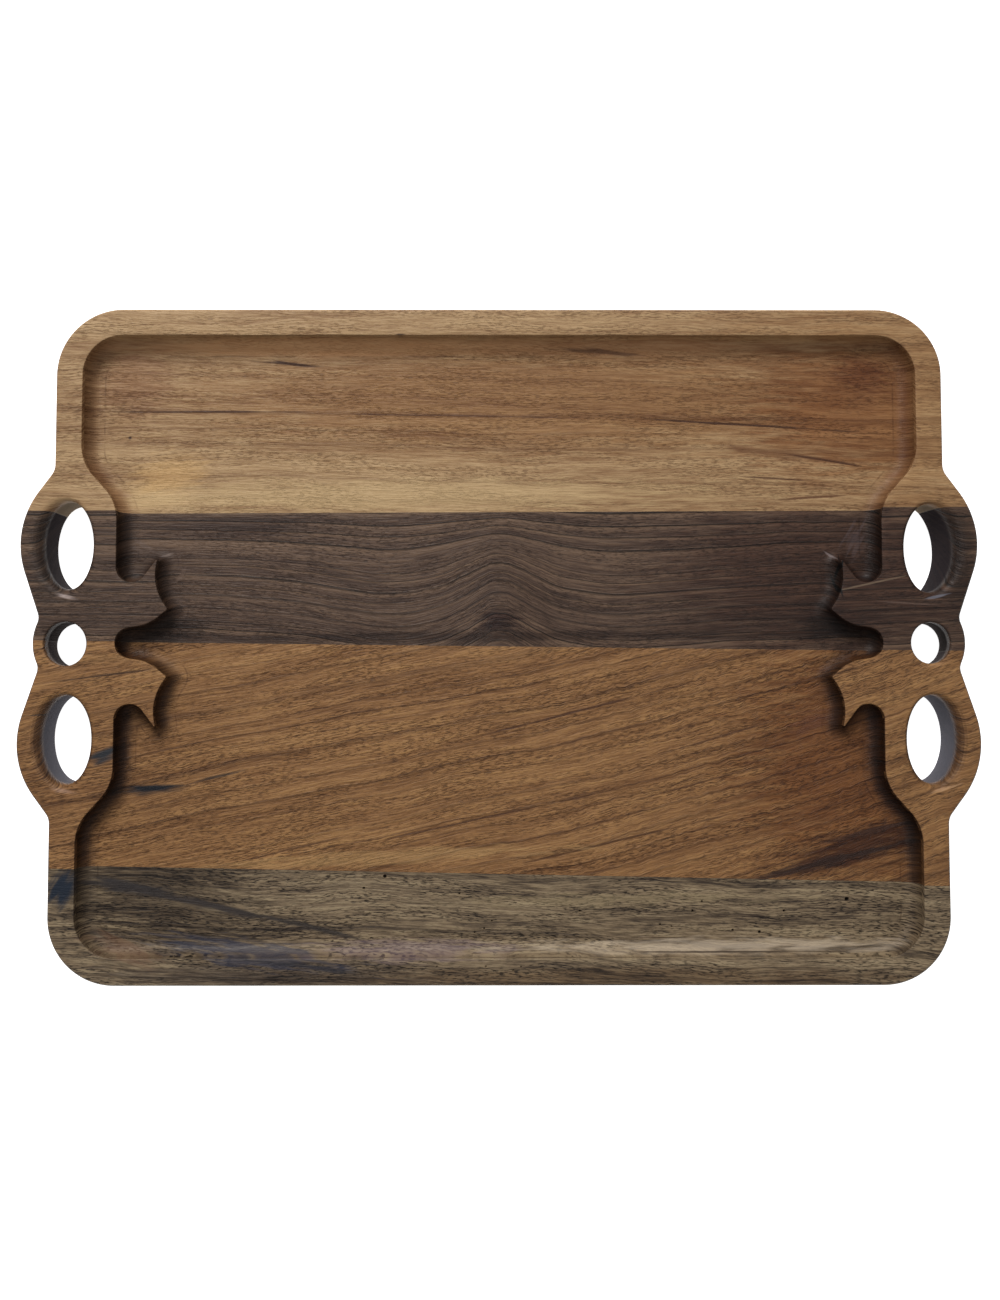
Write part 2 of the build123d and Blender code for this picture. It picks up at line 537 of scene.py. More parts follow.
class Bench:
    """Places the nodes of one tree and wires them."""

    def __init__(self, tree: bpy.types.NodeTree) -> None:
        """Work on a tree, emptied first."""
        self.tree = tree
        tree.nodes.clear()

    def feed(self, socket: Socket, value: object) -> None:
        """Fill an input.

        Args:
            socket: the input.
            value: another node's output to wire in, or a plain value to set.
        """
        if isinstance(value, bpy.types.NodeSocket):
            self.tree.links.new(value, socket)
        else:
            socket.default_value = value

    def place(self, kind: str, settings: dict[str, object] | None = None, **feeds: object) -> bpy.types.Node:
        """Add a node.

        Args:
            kind: the node's type name.
            settings: attributes to set on the node.
            **feeds: inputs by name, with underscores for spaces, as outputs to wire in or as plain values.

        Returns:
            The new node.
        """
        node = self.tree.nodes.new(kind)
        for name, value in (settings or {}).items():
            setattr(node, name, value)
        for name, value in feeds.items():
            self.feed(node.inputs[name.replace("_", " ")], value)
        return node

    def math(self, operation: str, *values: object) -> Socket:
        """Add a Math node.

        Args:
            operation: the node's operation.
            *values: its inputs in order, as outputs to wire in or as plain values.

        Returns:
            The result.
        """
        node = self.place("ShaderNodeMath", {"operation": operation})
        for socket, value in zip(node.inputs, values):
            self.feed(socket, value)
        return node.outputs[0]

    def product(self, first: object, *others: object) -> Socket:
        """Multiply two or more values.

        Args:
            first: the first value.
            *others: the rest.

        Returns:
            Their product.
        """
        for other in others:
            first = self.math("MULTIPLY", first, other)
        return first

    def centred(self, value: Socket) -> Socket:
        """A value less a half, so that a noise swings about nothing."""
        return self.math("SUBTRACT", value, 0.5)

    def join(self, x: object, y: object, z: object = 0.0) -> Socket:
        """Make a vector from three values."""
        return self.place("ShaderNodeCombineXYZ", X=x, Y=y, Z=z).outputs[0]

    def part(self, vector: Socket) -> tuple[Socket, Socket, Socket]:
        """Take a vector's three values."""
        return tuple(self.place("ShaderNodeSeparateXYZ", Vector=vector).outputs[:3])

    def turned(self, x: Socket, y: Socket, lean: Socket) -> tuple[Socket, Socket]:
        """Measure a place along and across a leaning line.

        Args:
            x: distance right.
            y: distance back.
            lean: the line's angle a, in degrees.

        Returns:
            x cos a + y sin a along the line, and y cos a - x sin a across it.
        """
        angle = self.math("RADIANS", lean)
        c, s = self.math("COSINE", angle), self.math("SINE", angle)
        along = self.math("MULTIPLY_ADD", x, c, self.product(y, s))
        return along, self.math("SUBTRACT", self.product(y, c), self.product(x, s))

    def noise(self, vector: Socket, scale: float = 1.0, detail: float = 2.0) -> Socket:
        """Add a noise texture and return its value, from about 0.25 to 0.75."""
        return self.place("ShaderNodeTexNoise", Vector=vector, Scale=scale, Detail=detail).outputs["Fac"]

    def drawn_noise(self, along: Socket, across: Socket, rates: tuple[float, float], z: object = 0.0,
                    detail: float = 2.0) -> Socket:
        """Add a noise drawn out along a line.

        Args:
            along: distance along the line.
            across: distance across it.
            rates: how fast the noise runs in each direction, per metre.
            z: where the noise is cut, which changes all of it.
            detail: the noise's detail.

        Returns:
            Its value, from about 0.25 to 0.75.
        """
        site = self.join(self.product(along, rates[0]), self.product(across, rates[1]), z)
        return self.noise(site, detail=detail)

    def remap(
        self, value: object, low: object, high: object, start: object = 0.0, end: object = 1.0
    ) -> Socket:
        """Turn low..high into start..end with soft ends, held level outside them."""
        feeds = {"Value": value, "From_Min": low, "From_Max": high, "To_Min": start, "To_Max": end}
        return self.place("ShaderNodeMapRange", {"interpolation_type": "SMOOTHSTEP"}, **feeds).outputs[0]

    def ramp(self, value: Socket, stops: Sequence[tuple[float, Colour]]) -> Socket:
        """Turn a value into a colour through evenly blended stops.

        Args:
            value: the value.
            stops: the value and the colour of each stop, in order.

        Returns:
            The colour.
        """
        node = self.place("ShaderNodeValToRGB", Fac=value)
        elements = node.color_ramp.elements
        while len(elements) < len(stops):
            elements.new(0.5)
        for element, (position, colour) in zip(elements, stops):
            element.position, element.color = position, colour
        return node.outputs[0]

    def over(self, under: object, colour: object, amount: object, blend: Blend = Blend.COVER) -> Socket:
        """Lay one colour over another.

        Args:
            under: the colour beneath.
            colour: the colour laid on.
            amount: how much of it, from 0 to 1.
            blend: how the two combine.

        Returns:
            The combined colour.
        """
        node = self.place("ShaderNodeMix", {"data_type": "RGBA", "blend_type": blend.value})
        for index, value in ((0, amount), (6, under), (7, colour)):
            self.feed(node.inputs[index], value)
        return node.outputs[2]

    def curve(self, value: Socket, points: Sequence[tuple[float, float]]) -> Socket:
        """Turn a value into another through a smooth curve.

        Args:
            value: the value, from 0 to 1.
            points: points that the curve passes through, from 0 to 1 each way.

        Returns:
            The curve's height there.
        """
        node = self.place("ShaderNodeFloatCurve", Value=value)
        line = node.mapping.curves[0].points
        while len(line) < len(points):
            line.new(0.5, 0.5)
        for knot, point in zip(line, points):
            knot.location = point
        node.mapping.update()
        return node.outputs[0]


Effect = tuple[Bench, dict[str, Socket], bpy.types.Node]


def effect(name: str, inputs: dict[str, float], outputs: Sequence[str]) -> Effect:
    """Start a node group.

    Args:
        name: the group's name.
        inputs: value inputs with their defaults; one called Place is a vector.
        outputs: value outputs.

    Returns:
        A bench on the group's tree, its inputs as sockets to wire from, and its output node.
    """
    tree = bpy.data.node_groups.new(name, "ShaderNodeTree")
    for title, value in inputs.items():
        kind = "NodeSocketVector" if title == "Place" else "NodeSocketFloat"
        socket = tree.interface.new_socket(title, in_out="INPUT", socket_type=kind)
        if title != "Place":
            socket.default_value = value
    for title in outputs:
        tree.interface.new_socket(title, in_out="OUTPUT", socket_type="NodeSocketFloat")
    bench = Bench(tree)
    source = bench.place("NodeGroupInput")
    return bench, {title: source.outputs[title] for title in inputs}, bench.place("NodeGroupOutput")


class GrainKit:
    """The wood effects that every board's finish uses, each built once as a node group."""

    def __init__(self) -> None:
        """Build the groups."""
        self.lay = self.build_lay()
        self.rings = self.build_rings()
        self.fibres = self.build_fibres()
        self.streak = self.build_streak()

    def build_lay(self) -> bpy.types.NodeTree:
        """Distances along and across the grain, in metres.

        The place is turned by the grain's lean, and its distance across then gains the depth below the rim
        times the rings' climb and two wandering noises, the finer an eighth as strong.

        Returns:
            The group.
        """
        inputs = {"Place": 0.0, "Lean": 0.0, "Wander": 0.002, "Climb": 0.4}
        bench, take, out = effect("Lay of the grain", inputs, ["Along", "Across"])
        x, y, z = bench.part(take["Place"])
        along, across = bench.turned(x, y, take["Lean"])
        across = bench.math("MULTIPLY_ADD", bench.math("SUBTRACT", z, RIM_LEVEL * MM), take["Climb"], across)
        slow = bench.centred(bench.drawn_noise(along, across, (9.0, 16.0)))
        quick = bench.centred(bench.drawn_noise(along, across, (55.0, 120.0)))
        sway = bench.math("MULTIPLY_ADD", quick, 0.12, slow)
        across = bench.math("MULTIPLY_ADD", sway, bench.product(take["Wander"], 4.0), across)
        bench.feed(out.inputs["Along"], along)
        bench.feed(out.inputs["Across"], across)
        return bench.tree

    def build_rings(self) -> bpy.types.NodeTree:
        """Growth rings cut along the grain.

        The distance across, over the spacing and unevenly stretched by a noise, counts the rings. Within a
        ring the tone deepens as the cube of the way through it. A line is drawn just before the next ring,
        with a fine edge in front of it for a painted highlight, both stronger or weaker from ring to ring and
        along each ring.

        Returns:
            The group.
        """
        inputs = {"Along": 0.0, "Across": 0.0, "Spacing": 0.004, "Seed": 0.0}
        bench, take, out = effect("Growth rings", inputs, ["Tone", "Line", "Edge"])
        count = bench.math("DIVIDE", take["Across"], take["Spacing"])
        stretch = bench.noise(bench.join(bench.product(count, 0.37), 0.0, take["Seed"]), detail=1.0)
        count = bench.math("MULTIPLY_ADD", stretch, 3.0, count)
        through, ring = bench.math("FRACT", count), bench.math("FLOOR", count)
        line = bench.product(bench.remap(through, 0.78, 0.92), bench.remap(through, 0.96, 1.0, 1.0, 0.0))
        edge = bench.product(bench.remap(through, 0.58, 0.70), bench.remap(through, 0.74, 0.80, 1.0, 0.0))
        site = bench.join(ring, take["Seed"])
        own = bench.place("ShaderNodeTexWhiteNoise", {"noise_dimensions": "2D"}, Vector=site).outputs["Value"]
        fade = bench.noise(bench.join(bench.product(take["Along"], 14.0), ring, take["Seed"]))
        strength = bench.product(bench.math("MULTIPLY_ADD", own, 0.5, 0.5), bench.remap(fade, 0.22, 0.46))
        bench.feed(out.inputs["Tone"], bench.product(bench.math("POWER", through, 3.0), own))
        bench.feed(out.inputs["Line"], bench.product(line, strength))
        bench.feed(out.inputs["Edge"], bench.product(edge, strength))
        return bench.tree

    def build_fibres(self) -> bpy.types.NodeTree:
        """Fibres and pores.

        A noise drawn out by the fibres' length and width, with low..high turned into 0..1.

        Returns:
            The group.
        """
        shape = {"Length": 0.02, "Width": 0.0006, "Low": 0.3, "High": 0.7, "Seed": 0.0}
        bench, take, out = effect("Fibres", {"Along": 0.0, "Across": 0.0, **shape}, ["Strength"])
        along = bench.math("DIVIDE", take["Along"], take["Length"])
        across = bench.math("DIVIDE", take["Across"], take["Width"])
        noise = bench.noise(bench.join(along, across, take["Seed"]), detail=3.0)
        bench.feed(out.inputs["Strength"], bench.remap(noise, take["Low"], take["High"]))
        return bench.tree

    def build_streak(self) -> bpy.types.NodeTree:
        """One stain drawn out along the grain: 1 at its centre, 0 outside an ellipse with a ragged rim.

        The place is centred and turned, its two distances are divided by the half length and half width, and
        their joined distance, plus a noise stretched along the streak, is faded out between 0.3 and 1.

        Returns:
            The group.
        """
        shape = {"X": 0.0, "Y": 0.0, "Lean": 0.0, "Half Length": 0.05, "Half Width": 0.005, "Ragged": 0.5}
        bench, take, out = effect("Streak", {"Place": 0.0, **shape}, ["Mask"])
        x, y, _ = bench.part(take["Place"])
        x, y = bench.math("SUBTRACT", x, take["X"]), bench.math("SUBTRACT", y, take["Y"])
        along, across = bench.turned(x, y, take["Lean"])
        rim = bench.drawn_noise(along, across, (45.0, 420.0), take["X"], detail=4.0)
        far_along = bench.math("POWER", bench.math("DIVIDE", along, take["Half Length"]), 2.0)
        far_across = bench.math("POWER", bench.math("DIVIDE", across, take["Half Width"]), 2.0)
        far = bench.math("SQRT", bench.math("ADD", far_along, far_across))
        far = bench.math("MULTIPLY_ADD", bench.centred(rim), bench.product(take["Ragged"], 4.0), far)
        bench.feed(out.inputs["Mask"], bench.remap(far, 0.3, 1.0, 1.0, 0.0))
        return bench.tree


class BoardBench(Bench):
    """A bench on one board's material.

    Attributes:
        kit: the shared wood effects.
        spot: where on the tray.
        reach: distance from the recess wall, positive inside the recess.
    """

    def __init__(self, tree: bpy.types.NodeTree, kit: GrainKit) -> None:
        """Work on a material's tree.

        Args:
            tree: the tree, emptied first.
            kit: the shared wood effects.
        """
        super().__init__(tree)
        self.kit = kit
        self.spot = self.place("ShaderNodeTexCoord").outputs["Object"]
        self.reach = self.place("ShaderNodeAttribute", {"attribute_name": "reach"}).outputs["Fac"]

    def use(self, group: bpy.types.NodeTree, **feeds: object) -> bpy.types.Node:
        """Place one of the effects.

        Args:
            group: the effect's group.
            **feeds: its inputs, as for place.

        Returns:
            The group's node.
        """
        node = self.tree.nodes.new("ShaderNodeGroup")
        node.node_tree = group
        for name, value in feeds.items():
            self.feed(node.inputs[name.replace("_", " ")], value)
        return node


# ---- Finishes ----


class Level(Enum):
    """Which of the carved levels a streak or patch shows on."""

    BOTH = "both"
    FLOOR = "floor"
    RIM = "rim"


@dataclass(frozen=True)
class StainOrLight:
    """A streak or patch of colour on one board, most the wood's own and some painted highlights and painted
    shade; places and sizes in millimetres, lean in degrees.
    """

    colour: Colour
    x: float
    y: float
    half_length: float
    half_width: float
    lean: float = 0.0
    amount: float = 1.0
    ragged: float = 0.5
    level: Level = Level.FLOOR
    blend: Blend = Blend.COVER


def shade(*shape: Colour | float | Level) -> StainOrLight:
    """A patch that darkens what lies under it, the wood's own colour and painted shade alike, with the same
    first fields in order.
    """
    return StainOrLight(*shape, blend=Blend.STAIN)


@dataclass(frozen=True)
class Fibres:
    """One layer of fibres.

    Attributes:
        length: how far it is drawn out along the grain, in millimetres.
        width: how wide it is, in millimetres.
        low, high: the noise values that become 0 and 1.
        seed: keeps it apart from the other layers.
    """

    length: float
    width: float
    low: float
    high: float
    seed: float


FINE_FIBRES = Fibres(12, 0.75, 0.3, 0.7, 7.3)
COARSE_FIBRES = Fibres(45, 2.4, 0.3, 0.7, 14.6)
BANDS = Fibres(160, 11, 0.32, 0.68, 21.9)
PORES = Fibres(3.4, 0.52, 0.5, 0.63, 29.2)
PORE_CROWDS = Fibres(50, 6, 0.36, 0.6, 36.5)

OUTSIDE_CLIMB = 0.9  # how steeply the rings climb through the cut sides
COARSE_SHARE = 0.55  # how much of the fibres' tone the coarse ones add
LINE_HEIGHT, PORE_DEPTH = 1.2, 1.1  # how far ring lines stand up and pores sink, times the relief
HOLE_SHADE_COVER, HOLE_WALL_SMOOTH = 0.85, 0.8  # share of the wood's colour covered by the hole walls' painted shade, and of its relief smoothed there
SHEEN = 0.22  # specular level of oiled wood
# painted shade inside the insect holes
PIT_SHADE = dye(24, 18, 14)
CUTTER_MARK = dye(150, 130, 118)
CUTTER_MARK_REACH = 8.2  # how far inside the recess wall the cutter's line runs
# painted shade on the walls of the round holes
ROUND_HOLE_SHADE = dye(34, 27, 24)
HANDLE_HALF_WIDTH = 78.5  # the handle holes and their mouths lie within this of the tray's middle, across it
HANDLE_END = 238.7  # and within this along it
ROUND_HOLE_HALF_WIDTH = 20.0  # a hole within this of the middle, across the tray, is the round one


@dataclass(frozen=True)
class WoodFinish:
    """Oiled wood of one board, cut along the grain.

    Attributes:
        dark, middle, pale: the wood's tones.
        line, pore: the colours of the rings' lines and of the pores.
        lean: the grain's angle to the board, in degrees.
        wander: how far the grain strays sideways, in millimetres.
        climb: how steeply the rings climb through the recess walls.
        ring_spacing: millimetres between growth rings.
        ring_tone, line_amount, edge_highlight: how strongly rings, their lines and the painted highlights on
        the lines' edges show.
        fibre_tone, band_tone, pore_amount: how strongly fibres, broad bands and pores show.
        wall_shade, end_oil: how much painted shade darkens the floor by the recess wall, and how much
            oiling darkens the cut ends.
        oil_and_shade: what oiling and the painted shade multiply the wood's colour by.
        hole_wall_shade: the painted shade and painted floor reflection on the holes' walls.
        relief: how deep the fibres are cut, in millimetres.
        seed: sets the board's figure apart from the others'.
    """

    name: str
    dark: Colour
    middle: Colour
    pale: Colour
    line: Colour
    pore: Colour
    lean: float = 0.0
    wander: float = 2.0
    climb: float = 0.12
    ring_spacing: float = 5.0
    ring_tone: float = 0.15
    line_amount: float = 0.6
    # painted highlight on the pale edge in front of each ring line
    edge_highlight: float = 0.0
    fibre_tone: float = 0.3
    band_tone: float = 0.3
    pore_amount: float = 0.5
    # painted shade on the floor by the recess wall
    wall_shade: float = 0.6
    end_oil: float = 0.7
    # colour that the cut ends' oiling and the painted shade by the recess wall multiply by
    oil_and_shade: Colour = dye(130, 112, 104)
    hole_wall_shade: Colour = dye(86, 87, 95)
    # painted shade and painted floor reflection on the hole walls
    roughness: float = 0.5
    relief: float = 0.12
    seed: float = 0.0
    stains_and_light: tuple[StainOrLight, ...] = ()

    def bend(self, bench: BoardBench) -> Socket:
        """The place that the grain is worked out from; straight grain leaves it as it is."""
        return bench.spot

    def material(self, kit: GrainKit) -> bpy.types.Material:
        """Build the finish as a material.

        Args:
            kit: the shared wood effects.

        Returns:
            The new material.
        """
        material = bpy.data.materials.new(self.name)
        material.use_nodes = True
        bench = BoardBench(material.node_tree, kit)
        colour, relief, fine = self.figure(bench)
        colour = self.oiled_and_shaded(bench, self.stained_and_lit(bench, colour))
        # painted shade and painted floor reflection on the handle holes' walls
        hole_wall_mask, hole_shade_colour = self.hole_walls(bench)
        colour = self.pitted(bench, bench.over(colour, hole_shade_colour, bench.product(hole_wall_mask, HOLE_SHADE_COVER)))

        relief = bench.product(relief, bench.math("MULTIPLY_ADD", hole_wall_mask, -HOLE_WALL_SMOOTH, 1.0))
        bump = bench.place("ShaderNodeBump", Strength=1.0, Distance=self.relief * MM, Height=relief)
        rough = bench.math("MULTIPLY_ADD", fine, -0.12, self.roughness + 0.06)
        rough = bench.math("MAXIMUM", rough, hole_wall_mask)
        looks = {"Base Color": colour, "Roughness": rough, "Normal": bump.outputs[0]}
        shader = bench.place("ShaderNodeBsdfPrincipled", **looks)
        shader.inputs["Specular IOR Level"].default_value = SHEEN
        bench.place("ShaderNodeOutputMaterial", Surface=shader.outputs[0])
        return material

    def figure(self, bench: BoardBench) -> tuple[Socket, Socket, Socket]:
        """Draw the board's bands, rings, fibres and pores.

        The tone starts at a half, gains the bands and fibres and loses the rings' tone, and picks the colour
        between dark, middle and pale. Lines, painted highlights on their edges and pores are laid over that.

        Args:
            bench: the material's bench.

        Returns:
            The wood's colour, the height of its relief, counted in depths of a fine fibre, and its fine
            fibres, from 0 to 1.
        """
        outside = bench.math("LESS_THAN", bench.reach, 0.0)
        climb = bench.math("MULTIPLY_ADD", outside, OUTSIDE_CLIMB - self.climb, self.climb)
        spread = {"Lean": self.lean, "Wander": self.wander * MM, "Climb": climb}
        lay = bench.use(bench.kit.lay, Place=self.bend(bench), **spread)
        lines = {"Along": lay.outputs["Along"], "Across": lay.outputs["Across"]}
        rings = bench.use(bench.kit.rings, **lines, Spacing=self.ring_spacing * MM, Seed=self.seed)
        layers = (FINE_FIBRES, COARSE_FIBRES, BANDS, PORES, PORE_CROWDS)
        fine, coarse, band, pores, crowd = (self.fibres(bench, lines, layer) for layer in layers)

        tone, coarse_tone = 0.5, self.fibre_tone * COARSE_SHARE
        for layer, amount in ((band, self.band_tone), (fine, self.fibre_tone), (coarse, coarse_tone)):
            tone = bench.math("MULTIPLY_ADD", bench.centred(layer), amount, tone)
        tone = bench.math("MULTIPLY_ADD", rings.outputs["Tone"], -self.ring_tone, tone)
        colour = bench.ramp(tone, [(0.1, self.dark), (0.5, self.middle), (0.9, self.pale)])
        line = bench.product(rings.outputs["Line"], self.line_amount)
        colour = bench.over(colour, self.line, line)
        # painted highlight: the pale edge in front of each ring line
        colour = bench.over(colour, self.pale, bench.product(rings.outputs["Edge"], self.edge_highlight))
        pore = bench.product(pores, bench.math("MULTIPLY_ADD", crowd, 0.7, 0.3))
        colour = bench.over(colour, self.pore, bench.product(pore, self.pore_amount), Blend.STAIN)

        relief = fine
        for layer, height in ((coarse, 0.5), (line, LINE_HEIGHT), (pore, -PORE_DEPTH)):
            relief = bench.math("MULTIPLY_ADD", layer, height, relief)
        return colour, relief, fine

    def fibres(self, bench: BoardBench, lines: dict[str, Socket], layer: Fibres) -> Socket:
        """Draw one layer of fibres.

        Args:
            bench: the material's bench.
            lines: distances along and across the grain.
            layer: the layer.

        Returns:
            How strongly the fibres show, from 0 to 1.
        """
        sizes = {"Length": layer.length * MM, "Width": layer.width * MM, "Low": layer.low, "High": layer.high}
        node = bench.use(bench.kit.fibres, **lines, **sizes, Seed=self.seed + layer.seed)
        return node.outputs["Strength"]

    def stained_and_lit(self, bench: BoardBench, colour: Socket) -> Socket:
        """Lay the board's patches of colour over its wood, each on its own level: the wood's own colour,
        painted highlights and painted shade.

        Args:
            bench: the material's bench.
            colour: the wood's colour.

        Returns:
            The colour with its patches laid on.
        """
        height = bench.part(bench.spot)[2]
        sunk = bench.remap(height, (FLOOR_LEVEL + 0.5) * MM, (RIM_LEVEL - 1) * MM, 1.0, 0.0)
        shown = {Level.BOTH: 1.0, Level.FLOOR: sunk, Level.RIM: bench.math("SUBTRACT", 1.0, sunk)}
        for patch in self.stains_and_light:
            node = bench.use(
                bench.kit.streak, Place=bench.spot, X=patch.x * MM, Y=patch.y * MM, Lean=patch.lean,
                Half_Length=patch.half_length * MM, Half_Width=patch.half_width * MM, Ragged=patch.ragged,
            )
            amount = bench.product(node.outputs["Mask"], patch.amount, shown[patch.level])
            colour = bench.over(colour, patch.colour, amount, patch.blend)
        return colour

    def oiled_and_shaded(self, bench: BoardBench, colour: Socket) -> Socket:
        """Deepen the colour where the wood drinks its oiling, and paint shade by the recess wall.

        Walls that cut across the grain drink most. The floor is darker within about 10 mm of the recess
        wall near the handles, as painted shade, and a cutter has left a faint line 8 mm from it.

        Args:
            bench: the material's bench.
            colour: the wood's colour.

        Returns:
            The deepened colour, with its painted shade and the cutter's line.
        """
        facing = bench.part(bench.place("ShaderNodeNewGeometry").outputs["True Normal"])
        cut_end = bench.remap(bench.math("ABSOLUTE", facing[0]), 0.12, 0.75)
        colour = bench.over(colour, self.oil_and_shade, bench.product(cut_end, self.end_oil), Blend.STAIN)

        blot = bench.centred(bench.noise(bench.spot, 95.0, 3.0))
        # painted shade: the floor darkened within about 10 mm of the recess wall near the handles
        near = bench.remap(bench.math("MULTIPLY_ADD", blot, 9 * MM, bench.reach), 1 * MM, 10 * MM, 1.0, 0.0)
        within = bench.math("GREATER_THAN", bench.reach, 0.0)
        x, y, _ = bench.part(bench.spot)
        by_handle = bench.remap(bench.math("ABSOLUTE", x), 150 * MM, 190 * MM, 0.1, 1.0)
        by_middle = bench.remap(bench.math("ABSOLUTE", y), 85 * MM, 135 * MM, 1.0, 0.45)
        amount = bench.product(near, within, by_handle, by_middle, self.wall_shade)
        colour = bench.over(colour, self.oil_and_shade, amount, Blend.STAIN)

        gap = bench.math("ABSOLUTE", bench.math("SUBTRACT", bench.reach, CUTTER_MARK_REACH * MM))
        mark = bench.product(bench.remap(gap, 0.1 * MM, 0.7 * MM, 0.45, 0.0), bench.remap(blot, -0.1, 0.12))
        return bench.over(colour, CUTTER_MARK, mark, Blend.STAIN)

    def hole_walls(self, bench: BoardBench) -> tuple[Socket, Socket]:
        """Where the walls of the handle holes are, and the painted shade and painted floor reflection laid on
        them.

        The walls lie in the handle, at least 4 mm outside the recess wall and below the soft top edge. The
        round holes' walls are painted almost black, as painted shade.

        Args:
            bench: the material's bench.

        Returns:
            The mask, from 0 to 1, and the colour.
        """
        x, y, z = bench.part(bench.spot)
        beside = bench.math("ABSOLUTE", y)
        in_handle = bench.product(
            bench.math("LESS_THAN", beside, HANDLE_HALF_WIDTH * MM),
            bench.math("LESS_THAN", bench.reach, -4 * MM),
            bench.math("LESS_THAN", bench.math("ABSOLUTE", x), HANDLE_END * MM),
        )
        small = bench.math("LESS_THAN", beside, ROUND_HOLE_HALF_WIDTH * MM)
        # painted shade: the round holes' walls almost black
        painted_wall_shade = bench.over(self.hole_wall_shade, ROUND_HOLE_SHADE, bench.product(small, 0.8))
        return bench.product(in_handle, bench.remap(z, 14 * MM, 19 * MM, 1.0, 0.0)), painted_wall_shade

    def pitted(self, bench: BoardBench, colour: Socket) -> Socket:
        """Paint the insect holes in the serving floor almost black, as painted shade.

        They are what lies less than 3 mm below the floor, at least 4 mm inside the recess wall.

        Args:
            bench: the material's bench.
            colour: the wood's colour.

        Returns:
            The colour with black holes.
        """
        z = bench.part(bench.spot)[2]
        deep = bench.remap(z, (FLOOR_LEVEL - 0.7) * MM, (FLOOR_LEVEL - 0.15) * MM, 1.0, 0.0)
        inner = bench.math("GREATER_THAN", bench.reach, 4 * MM)
        above = bench.math("GREATER_THAN", z, (FLOOR_LEVEL - 3) * MM)
        # painted shade: the insect holes painted almost black
        return bench.over(colour, PIT_SHADE, bench.product(deep, inner, above))


@dataclass(frozen=True)
class PlainFinish:
    """An even finish with a faint mottle, for glue."""

    name: str
    colour: Colour
    mottle: Colour
    roughness: float

    def material(self, kit: GrainKit) -> bpy.types.Material:
        """Build the finish as a material.

        Args:
            kit: the shared wood effects, which glue has no use for.

        Returns:
            The new material.
        """
        material = bpy.data.materials.new(self.name)
        material.use_nodes = True
        bench = Bench(material.node_tree)
        place = bench.place("ShaderNodeTexCoord").outputs["Object"]
        blotch = bench.remap(bench.noise(place, 220.0, 3.0), 0.35, 0.65)
        colour = bench.over(self.colour, self.mottle, blotch)
        shader = bench.place("ShaderNodeBsdfPrincipled", Base_Color=colour)
        shader.inputs["Roughness"].default_value = self.roughness
        bench.place("ShaderNodeOutputMaterial", Surface=shader.outputs[0])
        return material


@dataclass(frozen=True)
class WavyFinish(WoodFinish):
    """Wood whose rings run in waves: two dips with a sharp rise between them, fading towards the back.

    Attributes:
        wave: places across the tray and the rings' height there, both in millimetres.
        reach: half the length that the wave covers, in millimetres.
        swing: the wave's greatest height or depth, in millimetres.
    """

    wave: tuple[tuple[float, float], ...] = ()
    reach: float = 220.0
    swing: float = 20.0

    def bend(self, bench: BoardBench) -> Socket:
        """Shift the place down by the wave's height, so that what ran straight follows the wave.

        Args:
            bench: the material's bench.

        Returns:
            The shifted place.
        """
        x, y, z = bench.part(bench.spot)
        knots = [(0.5 + at / (2 * self.reach), 0.5 + up / (2 * self.swing)) for at, up in self.wave]
        share = bench.math("MULTIPLY_ADD", x, 1 / (2 * self.reach * MM), 0.5)
        fade = bench.remap(y, 28 * MM, 74 * MM, 1.0, 0.15)
        rise = bench.product(bench.centred(bench.curve(share, knots)), fade, 2 * self.swing * MM)
        return bench.join(x, bench.math("SUBTRACT", y, rise), z)


@dataclass(frozen=True)
class RisingFinish(WoodFinish):
    """Wood whose grain climbs ever more steeply towards the right, and ripples there.

    Attributes:
        steepening: how much the grain's slope gains in each metre right of the middle.
        ripple: how far the ripples stray sideways, in millimetres.
    """

    steepening: float = 0.7
    ripple: float = 2.2

    def bend(self, bench: BoardBench) -> Socket:
        """Take away half the steepening times the distance right, squared, and add a close-set noise.

        Args:
            bench: the material's bench.

        Returns:
            The shifted place.
        """
        x, y, z = bench.part(bench.spot)
        right = bench.math("MAXIMUM", x, 0.0)
        straight = bench.math("SUBTRACT", y, bench.product(right, right, self.steepening / 2))
        wave = bench.centred(bench.drawn_noise(x, y, (170.0, 120.0), detail=1.0))
        share = bench.product(bench.remap(x, -60 * MM, 110 * MM, 0.1, 1.0), self.ripple * MM)
        return bench.join(x, bench.math("MULTIPLY_ADD", wave, share, straight), z)


